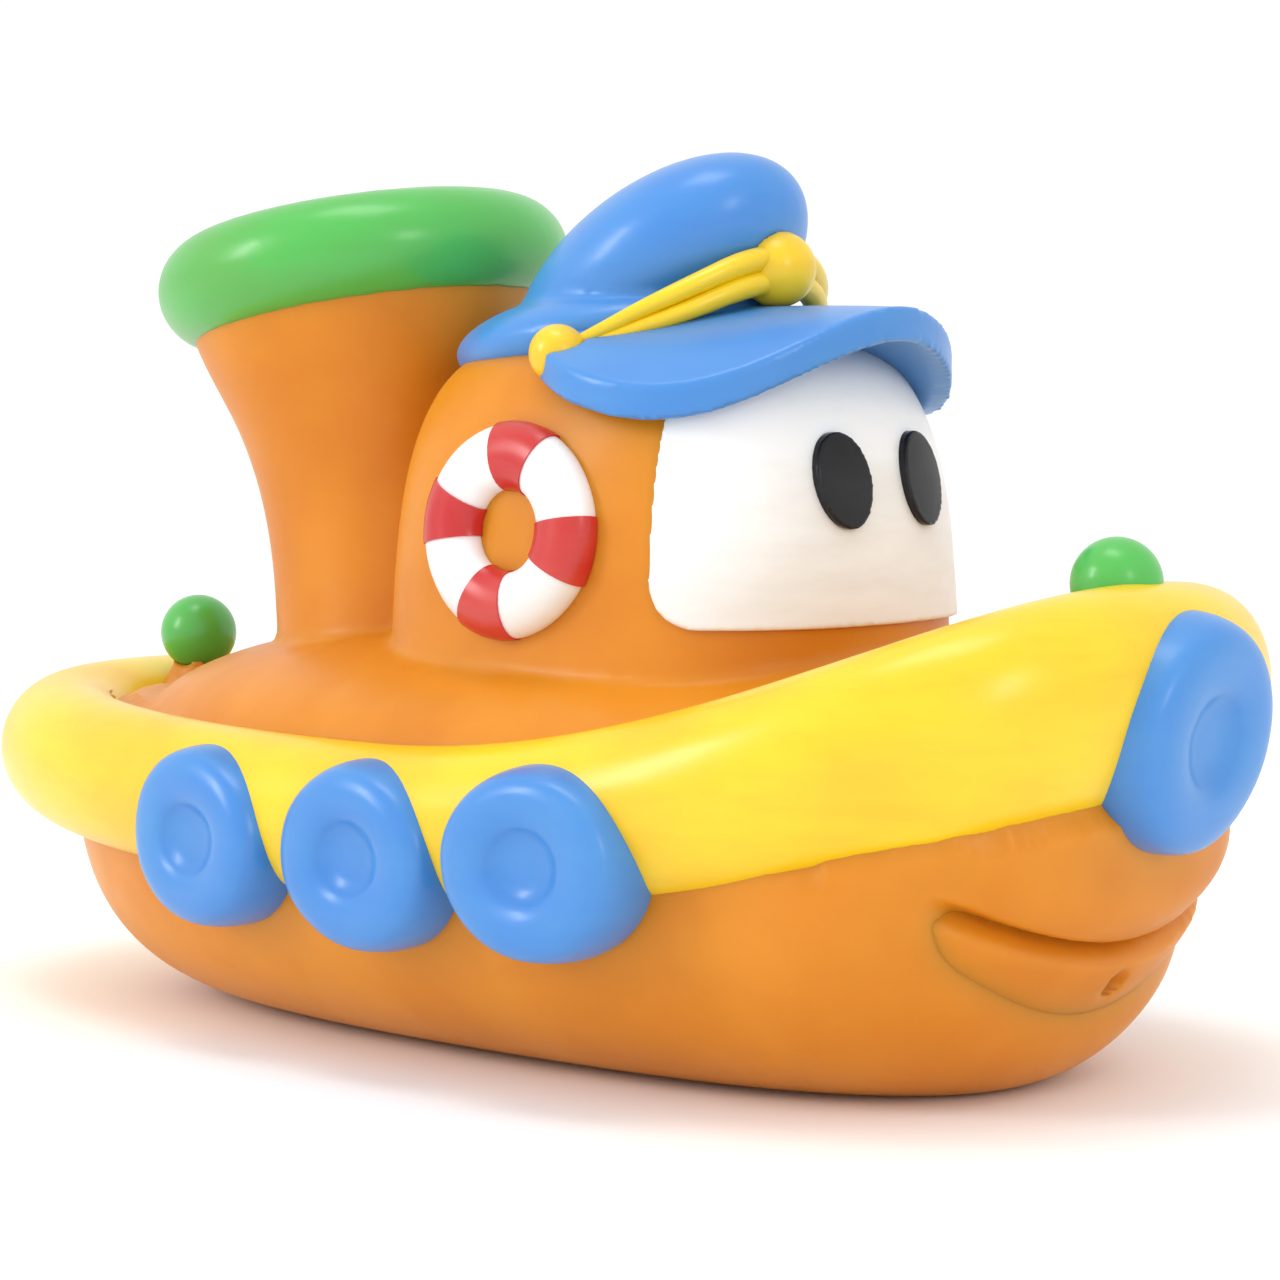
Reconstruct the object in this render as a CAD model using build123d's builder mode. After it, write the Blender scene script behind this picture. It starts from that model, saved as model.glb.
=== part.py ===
"""Bath-tub squirting toy boat: a hollow soft-vinyl tug with its painted reliefs as separate pieces.

Frame: +X points to the bow, +Y to port, +Z up. The origin is on the table, under the middle of the
boat's length and beam. Lengths are in millimetres, angles in degrees.
"""

import os
from math import cos, pi, radians, sin

from build123d import *

os.makedirs("parts", exist_ok=True)

# ---------------------------------------------------------------- hull
length = 100.0  # bow fender to stern rail
beam = 54.4  # over the side fenders
fender_proud_side = 1.6  # how far the side fenders stand out of the rail
fender_proud_bow = 0.1  # the same at the bow, as a share of that fender's depth
wall = 1.8  # vinyl wall of the hollow body
hull_middle = 2.8  # x of the widest place
hull_fullness_bow = 0.74  # 0.55 is an ellipse, 1 a box
hull_fullness_stern = 0.69
# waterlines: height, then bow reach, stern reach and half beam as shares of the rail's
waterlines = [
    (0.0, 0.675, 0.565, 0.45),
    (1.2, 0.752, 0.675, 0.62),
    (3.6, 0.815, 0.755, 0.755),
    (7.2, 0.865, 0.812, 0.852),
    (12.0, 0.905, 0.846, 0.898),
    (18.0, 0.945, 0.875, 0.905),
    (34.0, 0.780, 0.790, 0.780),
]

# the sheer: height of the deck at its lowest, and how far it rises at each end
sheer_low_x = -0.2
deck_height = 20.2
deck_rise_bow = 12.8
deck_rise_stern = 2.6
deck_level_beyond = 37.0  # past this distance from the middle the hull's edge runs level, under the rail
deck_crown = 8.6  # the domed middle of the deck above its edge
deck_crown_sink = 0.6  # how far the dome's widest level lies under the deck's edge
deck_crown_half_length = 41.0
deck_crown_half_width = 21.4

# ---------------------------------------------------------------- gunwale
rail_half_depth = 3.8  # amidships
rail_half_height = 5.0
rail_height = 16.1
rail_half_depth_bow = 5.7
rail_half_height_bow = 8.2
rail_rise_bow = 11.6
rail_lean_bow = 22.0  # degrees that the rail flares outwards at the bow
rail_half_depth_stern = 5.4
rail_half_height_stern = 5.0
rail_rise_stern = 2.5

# ---------------------------------------------------------------- deckhouse
house_middle = 7.2
house_fullness = 0.73
# height, half length and half width of the deckhouse, bottom to top
house_sections = [
    (16.0, 20.0, 16.2),
    (25.0, 18.6, 15.4),
    (33.0, 18.0, 15.1),
    (40.0, 16.6, 14.2),
    (44.0, 14.6, 12.6),
    (46.0, 12.2, 10.4),
]

# ---------------------------------------------------------------- funnel
funnel_rake = 10.6
funnel_x = -21.2  # the middle of the rim
funnel_height = 51.8
# distance along the raked axis from the rim's middle, and the radius there
funnel_profile = [(-34.0, 11.6), (-28.0, 10.2), (-22.0, 9.45), (-15.0, 9.5), (-9.5, 10.6), (-5.0, 12.2), (-1.5, 13.0)]
rim_radius = 14.8
rim_half_height = 3.9
rim_half_width = 3.9
rim_dish_depth = 2.0
rim_dish_radius = 11.2

# ---------------------------------------------------------------- fenders
side_fender_radius = 6.2
side_fender_stretch = 1.13  # they are a little longer than they are tall
side_fender_depth = 7.0
side_fender_x = (-12.9, 2.6, 17.9)
side_fender_out = (26.0, 27.0, 27.2)  # how far each face stands from the middle of the boat
side_fender_height = (14.3, 14.3, 15.1)
side_fender_yaw = (7.0, 1.0, -4.0)
bow_fender_radius = 7.5
bow_fender_depth = 6.6
bow_fender_height = 22.0
bow_fender_tilt = 9.0
# the dished face and the fat rim, from the middle to the back: shares of the radius and of the depth
fender_profile = [(0.0, -0.12), (0.30, -0.09), (0.62, 0.0), (0.90, -0.14), (1.0, -0.45), (0.93, -1.0)]

# ---------------------------------------------------------------- bollards
bollard_radius = 2.85
bollard_neck_radius = 2.1
bow_bollard_x = 42.4
bow_bollard_height = 31.9
stern_bollard_x = -39.0
stern_bollard_height = 25.2

# ---------------------------------------------------------------- cap
crown_x = 6.4
crown_height = 50.6
crown_half_length = 12.2
crown_half_width = 8.4
crown_half_height = 6.1
crown_pitch = 34.0
collar_x = 3.4
collar_height = 47.0
collar_half_length = 11.8
collar_half_width = 11.0
collar_half_height = 3.6
collar_pitch = 8.0
peak_middle = 12.8
peak_front = 26.6
peak_root = 1.5
peak_half_width = 15.0
peak_fullness = 0.56
peak_thickness = 2.2
# x, height of the peak's top on the centreline, and how fast it droops to the sides
peak_arches = [(0.0, 48.6, 0.008), (12.8, 49.0, 0.020), (27.8, 48.8, 0.041)]
band_radius = 1.35
button_radius = 1.9
badge_radius = 2.5
band_side = (7.9, 12.0, 45.9)
band_shoulder = (13.0, 7.4, 48.6)
band_front = (16.4, 0.0, 51.4)

# ---------------------------------------------------------------- face
panel_relief = 0.5
panel_aft = 17.4
panel_bottom = 28.7
panel_corner = 3.0
pupil_out = 4.2
pupil_height = 37.9
pupil_half_width = 2.3
pupil_half_height = 3.05
pupil_relief = 0.45
mouth_corner = (40.6, 14.6, 13.6)
mouth_cheek = (43.0, 8.0, 10.4)
mouth_middle = (43.7, 0.0, 9.1)
mouth_radius = 1.3
squirt_hole_diameter = 1.5
squirt_hole_height = 7.4

# ---------------------------------------------------------------- lifebuoys
buoy_x = 6.5
buoy_height = 34.6
buoy_ring_radius = 4.8
buoy_half_width = 2.15
buoy_half_relief = 1.6
buoy_lean = 5.0
buoy_band_arc = 38.0
buoy_band_turn = -10.0
buoy_band_relief = 0.15

# ---------------------------------------------------------------- derived
rail_bow = length / 2 - bow_fender_depth * fender_proud_bow
rail_stern = length / 2
rail_half_beam = beam / 2 - fender_proud_side


def draw_outline(middle, bow, stern, half_beam, fore, aft):
    """Adds a closed boat-shaped outline: four quarter curves whose handles give the fullness."""
    for side in (-1, 1):
        wide = side * half_beam
        for tip, handle in ((bow, fore), (stern, aft)):
            reach = tip - middle
            Bezier(
                (tip, 0.0),
                (tip, wide * handle),
                (middle + reach * handle, wide),
                (middle, wide),
            )


def sheer(x, low, rise_bow, rise_stern):
    """Height of a line that is low amidships and rises to the bow and the stern."""
    share = (x - sheer_low_x) / (length / 2)
    rise = rise_bow if share > 0 else rise_stern
    return low + rise * share * share


def hull_form(inset):
    """The hull up to the edge of its deck, drawn in by inset."""
    with BuildPart() as form:
        for height, bow, stern, half_beam in waterlines:
            with BuildSketch(Plane.XY.offset(height)):
                with BuildLine():
                    draw_outline(
                        hull_middle,
                        rail_bow * bow - inset,
                        inset - rail_stern * stern,
                        rail_half_beam * half_beam - inset,
                        hull_fullness_bow,
                        hull_fullness_stern,
                    )
                make_face()
        loft()
        top = []
        for step in range(-4, 5):
            x = deck_level_beyond * step / 4
            top.append((x, sheer(x, deck_height - inset, deck_rise_bow, deck_rise_stern)))
        with BuildSketch(Plane.XZ):
            with BuildLine():
                Spline(*top)
                Polyline(
                    top[-1],
                    (length, top[-1][1]),
                    (length, inset),
                    (-length, inset),
                    (-length, top[0][1]),
                    top[0],
                )
            make_face()
        extrude(amount=beam, both=True, mode=Mode.INTERSECT)
    return form.part


def deck_dome_form(inset):
    """The domed middle of the deck, a flattened ball sunk in the hull."""
    ball = scale(
        Sphere(1.0),
        by=(deck_crown_half_length - inset, deck_crown_half_width - inset, deck_crown - inset),
    )
    return Pos(hull_middle, 0.0, deck_height - deck_crown_sink) * ball


def house_form(inset):
    """The deckhouse, tapering boxy sections; a positive inset draws it in."""
    with BuildPart() as form:
        for height, half_length, half_width in house_sections:
            reach = half_length - inset
            with BuildSketch(Plane.XY.offset(height - inset)):
                with BuildLine():
                    draw_outline(
                        house_middle,
                        house_middle + reach,
                        house_middle - reach,
                        half_width - inset,
                        house_fullness,
                        house_fullness,
                    )
                make_face()
        loft()
    return form.part


def raked_plane(along, facing):
    """A plane on the funnel's axis: across it ("across") or lengthwise through it ("through")."""
    rake = radians(funnel_rake)
    axis = Vector(-sin(rake), 0.0, cos(rake))
    forward = Vector(cos(rake), 0.0, sin(rake))
    origin = Vector(funnel_x, 0.0, funnel_height) + axis * along
    normal = axis if facing == "across" else Vector(0.0, -1.0, 0.0)
    return Plane(origin=origin, x_dir=forward, z_dir=normal)


def funnel_form(inset):
    """The funnel's trumpet, turned about its raked axis."""
    profile = [(radius - inset, along) for along, radius in funnel_profile]
    top = profile[-1]
    foot = profile[0]
    with BuildPart() as form:
        with BuildSketch(raked_plane(0.0, "through")):
            with BuildLine():
                Spline(*profile)
                Polyline(top, (0.0, top[1]), (0.0, foot[1]), foot)
            make_face()
        revolve(axis=Axis(raked_plane(0.0, "across").origin, raked_plane(0.0, "across").z_dir))
    return form.part


def bollard_form(x, height, foot):
    """A bollard's knob and its neck, standing at x."""
    with BuildPart() as knob:
        with Locations((x, 0.0, height)):
            Sphere(bollard_radius)
    with BuildPart() as neck:
        with Locations((x, 0.0, foot)):
            Cylinder(bollard_neck_radius, height - foot, align=(Align.CENTER, Align.CENTER, Align.MIN))
    return knob.part, neck.part


def cushion_form(radius, depth, stretch, plane):
    """A tyre fender: a fat disc with a dished face, its face on the plane and facing along its normal."""
    profile = [(out * radius, along * depth) for out, along in fender_profile]
    with BuildPart() as form:
        with BuildSketch(Plane.XZ):
            with BuildLine():
                Spline(*profile, tangents=[(1, 0), (0, -1)])
                Polyline(profile[-1], (0.0, -depth), profile[0])
            make_face()
        revolve(axis=Axis.Z)
    return plane.location * scale(form.part, by=(stretch, 1.0, 1.0))


# ---------------------------------------------------------------- body: outside, cavity, shell
stern_knob, stern_neck = bollard_form(stern_bollard_x, stern_bollard_height, deck_height)
bow_knob, bow_neck = bollard_form(bow_bollard_x, bow_bollard_height, rail_height + rail_rise_bow)

outside_forms = [hull_form(0.0), deck_dome_form(0.0), house_form(0.0), funnel_form(0.0)]
inside_forms = [hull_form(wall), deck_dome_form(wall), house_form(wall), funnel_form(wall)]

with BuildPart() as body_outside:
    for form in outside_forms:
        add(form)

with BuildPart() as body_inside:
    for form in inside_forms:
        add(form)

with BuildPart() as body_shell:
    add(body_outside)
    add(stern_neck)
    add(body_inside, mode=Mode.SUBTRACT)
    add(stern_knob, mode=Mode.SUBTRACT)
    add(bow_knob, mode=Mode.SUBTRACT)
    # the smile pressed into the bow, from cheek to cheek
    with BuildLine(mode=Mode.PRIVATE) as smile:
        Spline(
            mouth_corner,
            mouth_cheek,
            mouth_middle,
            (mouth_cheek[0], -mouth_cheek[1], mouth_cheek[2]),
            (mouth_corner[0], -mouth_corner[1], mouth_corner[2]),
        )
    with BuildSketch(Plane(origin=smile.line @ 0, z_dir=smile.line % 0)):
        Circle(mouth_radius)
    sweep(path=smile.line, mode=Mode.SUBTRACT)
    # the hole the water squirts from
    with BuildSketch(Plane.YZ.offset(length / 4)):
        with Locations((0.0, squirt_hole_height)):
            Circle(squirt_hole_diameter / 2)
    extrude(amount=length / 4, mode=Mode.SUBTRACT)
body_shell.part.label = "body_shell"

# ---------------------------------------------------------------- fenders
fender_sides = {"starboard": -1, "port": 1}
fender_places = ("aft", "mid", "fore")
fenders = {}
for side, sign in fender_sides.items():
    for place, x, out, height, yaw in zip(
        fender_places, side_fender_x, side_fender_out, side_fender_height, side_fender_yaw
    ):
        turn = radians(yaw)
        facing = Plane(
            origin=(x, sign * out, height),
            x_dir=(cos(turn), sign * sin(turn), 0.0),
            z_dir=(-sin(turn), sign * cos(turn), 0.0),
        )
        cushion = cushion_form(side_fender_radius, side_fender_depth, side_fender_stretch, facing)
        with BuildPart() as fender:
            add(cushion)
            add(body_outside, mode=Mode.SUBTRACT)
        fender.part.label = f"fender_{side}_{place}"
        fenders[fender.part.label] = fender.part

tilt = radians(bow_fender_tilt)
bow_facing = Plane(
    origin=(length / 2, 0.0, bow_fender_height),
    x_dir=(0.0, 1.0, 0.0),
    z_dir=(cos(tilt), 0.0, -sin(tilt)),
)
bow_cushion = cushion_form(bow_fender_radius, bow_fender_depth, 1.0, bow_facing)
with BuildPart() as bow_fender:
    add(bow_cushion)
    add(body_outside, mode=Mode.SUBTRACT)
bow_fender.part.label = "bow_fender"
fenders["bow_fender"] = bow_fender.part

# ---------------------------------------------------------------- gunwale
with BuildLine(mode=Mode.PRIVATE) as rail_line:
    draw_outline(
        hull_middle,
        rail_bow - rail_half_depth_bow,
        rail_half_depth_stern - rail_stern,
        rail_half_beam - rail_half_depth,
        hull_fullness_bow,
        hull_fullness_stern,
    )
bow_quarter, stern_quarter = rail_line.edges()[:2]


def rail_share(x, end_value, middle_value):
    """A rail dimension that changes from amidships to one end of the boat."""
    share = (x - hull_middle) / (length / 2)
    return middle_value + (end_value - middle_value) * share * share


rail_stations = [(bow_quarter, share) for share in (0.0, 0.2, 0.4, 0.6, 0.8, 1.0)]
rail_stations += [(stern_quarter, share) for share in (0.8, 0.6, 0.4, 0.2, 0.0)]

with BuildPart() as bow_post:
    add(bow_neck)
    add(body_outside, mode=Mode.SUBTRACT)

with BuildPart() as half_rail:
    for quarter, share in rail_stations:
        spot = quarter @ share
        run = quarter % share
        if quarter is stern_quarter:
            run = run * -1
        end_depth = rail_half_depth_bow if spot.X > hull_middle else rail_half_depth_stern
        end_height = rail_half_height_bow if spot.X > hull_middle else rail_half_height_stern
        station = Plane(
            origin=(spot.X, spot.Y, sheer(spot.X, rail_height, rail_rise_bow, rail_rise_stern)),
            x_dir=(-run.Y, run.X, 0.0),
            z_dir=run,
        )
        with BuildSketch(station):
            Ellipse(
                rail_share(spot.X, end_depth, rail_half_depth),
                rail_share(spot.X, end_height, rail_half_height),
                rotation=-rail_share(spot.X, rail_lean_bow, 0.0) if spot.X > hull_middle else 0.0,
            )
    loft()

with BuildPart() as gunwale:
    add(half_rail)
    add(body_outside, mode=Mode.SUBTRACT)
    for cushion in fenders.values():
        add(cushion, mode=Mode.SUBTRACT)
    mirror(about=Plane.XZ)
    add(bow_post)
    for neighbour in (bow_knob, stern_neck, stern_knob):
        add(neighbour, mode=Mode.SUBTRACT)
gunwale.part.label = "gunwale"

with BuildPart() as bow_bollard_cap:
    add(bow_knob)
bow_bollard_cap.part.label = "bow_bollard_cap"

with BuildPart() as stern_bollard_cap:
    add(stern_knob)
stern_bollard_cap.part.label = "stern_bollard_cap"

# ---------------------------------------------------------------- funnel rim
rim_axis = Axis(raked_plane(0.0, "across").origin, raked_plane(0.0, "across").z_dir)
with BuildPart() as funnel_rim:
    with BuildSketch(raked_plane(0.0, "through")):
        with Locations((rim_radius - rim_half_width, 0.0)):
            Ellipse(rim_half_width, rim_half_height)
        # the shallow dish that closes the funnel's mouth
        with Locations((0.0, funnel_profile[-1][0])):
            Rectangle(rim_dish_radius, rim_dish_depth, align=(Align.MIN, Align.MIN))
    revolve(axis=rim_axis)
    add(body_outside, mode=Mode.SUBTRACT)
funnel_rim.part.label = "funnel_rim"

# ---------------------------------------------------------------- cap
crown_ball = scale(Sphere(1.0), by=(crown_half_length, crown_half_width, crown_half_height))
crown_ball = Pos(crown_x, 0.0, crown_height) * Rot(0.0, -crown_pitch, 0.0) * crown_ball
collar_ball = scale(Sphere(1.0), by=(collar_half_length, collar_half_width, collar_half_height))
collar_ball = Pos(collar_x, 0.0, collar_height) * Rot(0.0, -collar_pitch, 0.0) * collar_ball

with BuildPart() as cap_crown:
    add(crown_ball)
    add(collar_ball)
    add(body_outside, mode=Mode.SUBTRACT)
    add(funnel_rim, mode=Mode.SUBTRACT)
cap_crown.part.label = "cap_crown"

with BuildPart() as peak_slab:
    for x, top, droop in peak_arches:
        with BuildSketch(Plane.YZ.offset(x)):
            with BuildLine():
                reach = peak_half_width + peak_thickness
                upper = [(y * reach / 3, top - droop * (y * reach / 3) ** 2) for y in range(-3, 4)]
                lower = [(y, z - peak_thickness) for y, z in upper]
                Spline(*upper)
                Spline(*lower)
                Line(upper[0], lower[0])
                Line(upper[-1], lower[-1])
            make_face()
    loft()
    with BuildSketch(Plane.XY.offset(peak_arches[0][1] - 4 * peak_half_width / 3)):
        with BuildLine():
            draw_outline(
                peak_middle,
                peak_front,
                peak_root,
                peak_half_width,
                peak_fullness,
                peak_fullness,
            )
        make_face()
    extrude(amount=2 * peak_half_width, mode=Mode.INTERSECT)

with BuildPart() as band_rope:
    with BuildLine() as band_line:
        Spline(
            (band_side[0], -band_side[1], band_side[2]),
            (band_shoulder[0], -band_shoulder[1], band_shoulder[2]),
            band_front,
            band_shoulder,
            band_side,
        )
    with BuildSketch(Plane(origin=band_line.line @ 0, z_dir=band_line.line % 0)):
        Circle(band_radius)
    sweep()

with BuildPart() as cap_badge:
    with Locations(band_front):
        Sphere(badge_radius)
    add(body_outside, mode=Mode.SUBTRACT)
    add(cap_crown, mode=Mode.SUBTRACT)
cap_badge.part.label = "cap_badge"

cap_buttons = []
for side, sign in fender_sides.items():
    with BuildPart() as button:
        with Locations((band_side[0], sign * band_side[1], band_side[2])):
            Sphere(button_radius)
        add(body_outside, mode=Mode.SUBTRACT)
        add(cap_crown, mode=Mode.SUBTRACT)
    button.part.label = f"cap_button_{side}"
    cap_buttons.append(button.part)

with BuildPart() as cap_peak:
    add(peak_slab)
    for neighbour in (body_outside, cap_crown, cap_badge):
        add(neighbour, mode=Mode.SUBTRACT)
    for neighbour in cap_buttons:
        add(neighbour, mode=Mode.SUBTRACT)
cap_peak.part.label = "cap_peak"

with BuildPart() as cap_band:
    add(band_rope)
    for neighbour in (body_outside, cap_crown, cap_peak, cap_badge):
        add(neighbour, mode=Mode.SUBTRACT)
    for neighbour in cap_buttons:
        add(neighbour, mode=Mode.SUBTRACT)
cap_band.part.label = "cap_band"

# ---------------------------------------------------------------- face
house_skin = house_form(-panel_relief)
with BuildPart() as eye_panel:
    with BuildSketch(Plane.XZ):
        with Locations((panel_aft, panel_bottom)):
            Rectangle(length / 4, length / 4, align=(Align.MIN, Align.MIN))
        fillet(vertices().group_by(Axis.Y)[0].sort_by(Axis.X)[0], panel_corner)
    extrude(amount=beam, both=True)
    add(house_skin, mode=Mode.INTERSECT)
    for neighbour in (body_outside, cap_crown, cap_peak, cap_band):
        add(neighbour, mode=Mode.SUBTRACT)
eye_panel.part.label = "eye_panel"

pupil_skin = house_form(-panel_relief - pupil_relief)
pupils = []
for side, sign in fender_sides.items():
    with BuildPart() as pupil:
        with BuildSketch(Plane.YZ.offset(house_middle)):
            with Locations((sign * pupil_out, pupil_height)):
                Ellipse(pupil_half_width, pupil_half_height)
        extrude(amount=length / 4)
        add(pupil_skin, mode=Mode.INTERSECT)
        add(body_outside, mode=Mode.SUBTRACT)
        add(eye_panel, mode=Mode.SUBTRACT)
    pupil.part.label = f"pupil_{side}"
    pupils.append(pupil.part)

# ---------------------------------------------------------------- lifebuoys
buoy_quarters = (0.0, 90.0, 180.0, 270.0)
buoys = []
for side, sign in fender_sides.items():
    lean = radians(buoy_lean)
    ring_plane = Plane(
        origin=(buoy_x, sign * house_sections[2][2], buoy_height),
        x_dir=(1.0, 0.0, 0.0),
        z_dir=(0.0, sign * cos(lean), sin(lean)),
    )
    ring_axis = Axis(ring_plane.origin, ring_plane.z_dir)
    with BuildPart() as ring_bands:
        for quarter in buoy_quarters:
            turn = radians(quarter + buoy_band_turn - buoy_band_arc / 2)
            outward = ring_plane.x_dir * cos(turn) + ring_plane.y_dir * sin(turn)
            along = ring_plane.y_dir * cos(turn) - ring_plane.x_dir * sin(turn)
            with BuildSketch(Plane(origin=ring_plane.origin, x_dir=outward, z_dir=along)):
                with Locations((buoy_ring_radius, 0.0)):
                    Ellipse(buoy_half_width + buoy_band_relief, buoy_half_relief + buoy_band_relief)
            revolve(axis=ring_axis, revolution_arc=buoy_band_arc)
        add(body_outside, mode=Mode.SUBTRACT)
    ring_bands.part.label = f"life_ring_bands_{side}"
    with BuildPart() as ring:
        with BuildSketch(Plane(origin=ring_plane.origin, x_dir=ring_plane.x_dir, z_dir=ring_plane.y_dir)):
            with Locations((buoy_ring_radius, 0.0)):
                Ellipse(buoy_half_width, buoy_half_relief)
        revolve(axis=ring_axis)
        add(body_outside, mode=Mode.SUBTRACT)
        add(ring_bands, mode=Mode.SUBTRACT)
    ring.part.label = f"life_ring_{side}"
    buoys += [ring.part, ring_bands.part]

# ---------------------------------------------------------------- hand over
pieces = [
    body_shell.part,
    gunwale.part,
    bow_bollard_cap.part,
    stern_bollard_cap.part,
    funnel_rim.part,
    cap_crown.part,
    cap_peak.part,
    cap_band.part,
    cap_badge.part,
    eye_panel.part,
]
pieces += list(fenders.values()) + cap_buttons + pupils + buoys
for piece in pieces:
    export_step(piece, f"parts/{piece.label}.step")
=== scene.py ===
from math import cos, pi, radians, sin

import bmesh
import bpy
import numpy as np
from mathutils.bvhtree import BVHTree
from mathutils import Matrix, Vector


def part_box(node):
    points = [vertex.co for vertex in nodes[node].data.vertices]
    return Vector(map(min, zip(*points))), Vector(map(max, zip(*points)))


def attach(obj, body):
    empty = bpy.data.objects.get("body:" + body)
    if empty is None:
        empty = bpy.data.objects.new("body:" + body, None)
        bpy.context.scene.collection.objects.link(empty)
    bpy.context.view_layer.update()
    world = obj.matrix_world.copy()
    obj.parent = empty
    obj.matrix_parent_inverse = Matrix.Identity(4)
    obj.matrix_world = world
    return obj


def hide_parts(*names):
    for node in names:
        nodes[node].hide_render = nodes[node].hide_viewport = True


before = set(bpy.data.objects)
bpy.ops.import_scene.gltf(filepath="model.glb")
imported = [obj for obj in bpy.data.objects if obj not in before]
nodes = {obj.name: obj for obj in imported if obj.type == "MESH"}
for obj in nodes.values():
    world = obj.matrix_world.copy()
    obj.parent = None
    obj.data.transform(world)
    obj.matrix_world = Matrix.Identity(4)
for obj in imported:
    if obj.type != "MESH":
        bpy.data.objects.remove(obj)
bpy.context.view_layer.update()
scene = bpy.context.scene
mm = 0.001  # the frame is in metres
print("frame loaded:", len(nodes), "CAD nodes")


# mesh helpers
def newObject(name, mesh):
    piece = bpy.data.objects.new(name, mesh)
    scene.collection.objects.link(piece)
    return piece


def mergedCopy(name, nodeNames):
    # the CAD meshes are loose triangles, so a copy is merged before it is worked on
    shape = bmesh.new()
    for nodeName in nodeNames:
        shape.from_mesh(nodes[nodeName].data)
    bmesh.ops.remove_doubles(shape, verts=shape.verts, dist=1e-6)
    return shape


def evenSkin(name, shape, grain):
    # voxel remesh: an even quad skin that can be relaxed and pushed about
    mesh = bpy.data.meshes.new(name + "Rough")
    shape.to_mesh(mesh)
    shape.free()
    rough = newObject(name + "Rough", mesh)
    remesh = rough.modifiers.new("evenSkin", "REMESH")
    remesh.mode = "VOXEL"
    remesh.voxel_size = grain
    bpy.context.view_layer.update()
    evaluated = rough.evaluated_get(bpy.context.evaluated_depsgraph_get())
    skin = bpy.data.meshes.new_from_object(evaluated)
    skin.name = name
    bpy.data.objects.remove(rough)
    bpy.data.meshes.remove(mesh)
    return newObject(name, skin)


def readPoints(piece):
    points = np.zeros(len(piece.data.vertices) * 3)
    piece.data.vertices.foreach_get("co", points)
    return points.reshape(-1, 3) / mm


def readNormals(piece):
    normals = np.zeros(len(piece.data.vertices) * 3)
    piece.data.vertex_normals.foreach_get("vector", normals)
    return normals.reshape(-1, 3)


def writePoints(piece, points):
    piece.data.vertices.foreach_set("co", (points * mm).ravel())
    piece.data.update()


def relax(piece, rounds, weight=None, keepSize=True):
    # evens the surface out; keepSize puffs it back after every step so that it doesn't shrink
    points = readPoints(piece)
    ends = np.zeros(len(piece.data.edges) * 2, dtype=np.int64)
    piece.data.edges.foreach_get("vertices", ends)
    a, b = ends[0::2], ends[1::2]
    count = len(points)
    neighbours = np.maximum(np.bincount(a, minlength=count) + np.bincount(b, minlength=count), 1)
    share = np.ones(count) if weight is None else weight
    for turn in range(rounds):
        for push in (0.55, -0.57) if keepSize else (0.55,):
            total = np.empty_like(points)
            for axis in range(3):
                total[:, axis] = np.bincount(a, points[b, axis], count)
                total[:, axis] += np.bincount(b, points[a, axis], count)
            points += (total / neighbours[:, None] - points) * (push * share)[:, None]
    writePoints(piece, points)


def thinOut(piece, triangles):
    # fewer, larger triangles where the surface is plain
    count = sum(len(face.vertices) - 2 for face in piece.data.polygons)
    modifier = piece.modifiers.new("thin", "DECIMATE")
    modifier.ratio = min(1.0, triangles / count)
    bpy.context.view_layer.update()
    evaluated = piece.evaluated_get(bpy.context.evaluated_depsgraph_get())
    mesh = bpy.data.meshes.new_from_object(evaluated)
    piece.modifiers.remove(modifier)
    piece.data = mesh
    print("thinned from", count, "to", sum(len(face.vertices) - 2 for face in mesh.polygons), "triangles")


def bump(distance, width):
    return np.exp(-((distance / width) ** 2))


def fade(value, low, high):
    share = np.clip((value - low) / (high - low), 0, 1)
    return share * share * (3 - 2 * share)


def smoothShade(piece):
    piece.data.polygons.foreach_set("use_smooth", [True] * len(piece.data.polygons))
    piece.data.update()


def standFor(piece, nodeNames, material):
    piece.data.materials.clear()
    piece.data.materials.append(material)
    smoothShade(piece)
    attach(piece, "root")
    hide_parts(*nodeNames)


# shared shader groups
def addSocket(group, name, way, kind, default=None):
    socket = group.interface.new_socket(name=name, in_out=way, socket_type=kind)
    if default is not None:
        socket.default_value = default
    return socket


def link(tree, source, target):
    tree.links.new(source, target)


def mathNode(tree, operation, first, second):
    node = tree.nodes.new("ShaderNodeMath")
    node.operation = operation
    for index, value in enumerate((first, second)):
        if isinstance(value, (int, float)):
            node.inputs[index].default_value = value
        else:
            link(tree, value, node.inputs[index])
    return node.outputs[0]


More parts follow.
